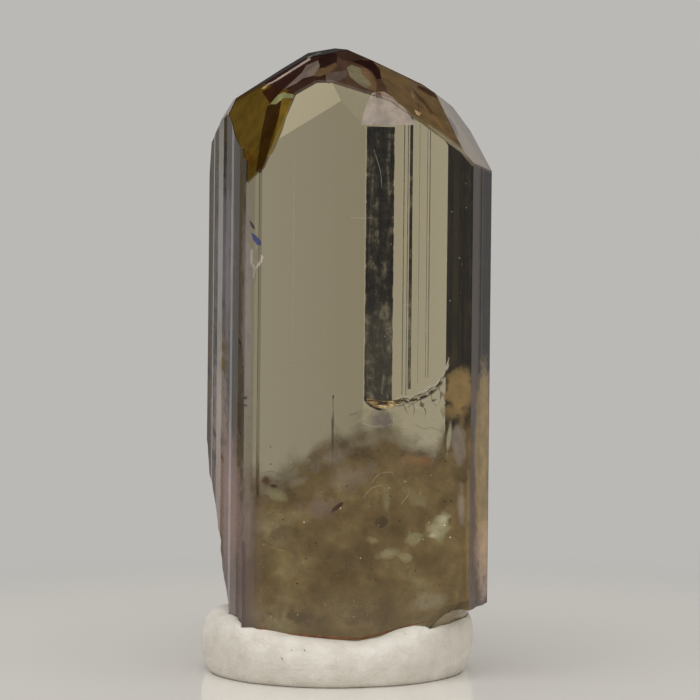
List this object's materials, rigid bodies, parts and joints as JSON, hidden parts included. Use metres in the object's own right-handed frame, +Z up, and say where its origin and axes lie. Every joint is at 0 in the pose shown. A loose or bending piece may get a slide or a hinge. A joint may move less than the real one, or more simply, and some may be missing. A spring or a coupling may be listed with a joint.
{
  "type": "tanzanite crystal",
  "caption": "Rough see-through gem crystal: a striated prism with a gabled end of flat faces and a broken, cloudy base, standing in a round of putty.",
  "frame": {"origin": "middle of the footprint, on the surface that the putty stands on", "axes": "+Z up along the length of the crystal, -Y towards the front face, +X to the right seen from the front"},
  "size_m": [0.0098, 0.009, 0.021],
  "materials": {
    "tanzanite": "clear olive brown stone, glossy flat faces, fine upright striations, cloudy towards the broken base",
    "mounting_putty": "matte off-white putty pressed by hand"
  },
  "bodies": {
    "root": {"crystal": "tanzanite", "putty_foot": "mounting_putty"}
  },
  "joints": []
}
